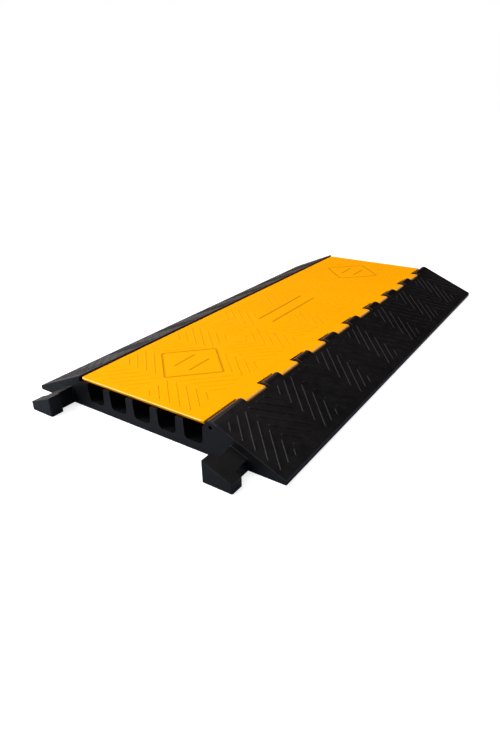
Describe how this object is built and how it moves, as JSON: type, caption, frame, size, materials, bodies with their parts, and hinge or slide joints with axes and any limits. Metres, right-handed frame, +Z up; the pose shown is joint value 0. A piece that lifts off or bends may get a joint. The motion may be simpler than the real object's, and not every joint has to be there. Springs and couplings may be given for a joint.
{
  "type": "cable protector ramp",
  "caption": "Low modular cable protector ramp: black base with sloping sides and parallel cable channels, covered by a yellow lid on a rod hinge, with T couplings at the ends.",
  "frame": {"origin": "on the floor plane, under the middle of the base body, the male couplings not counted", "axes": "+X across the ramps towards the hinge side, +Y along the cable channels towards the end with the coupling sockets, +Z up"},
  "size_m": [0.5, 0.965, 0.0575],
  "materials": {
    "black_rubber": "moulded, matt with a low sheen, scuffed on the tread ribs",
    "yellow_polyurethane": "moulded, satin, lightly scuffed",
    "zinc_steel": "drawn rod, zinc plated"
  },
  "bodies": {
    "base_body": {"base": "black_rubber", "hinge_rod": "zinc_steel"},
    "lid_body": {"lid": "yellow_polyurethane"}
  },
  "joints": [
    {"name": "lid_hinge", "type": "hinge", "parent": "base_body", "child": "lid_body", "pos_m": [0.1285, 0, 0.047], "axis": [0, 1, 0], "range_deg": [0, 110]}
  ]
}
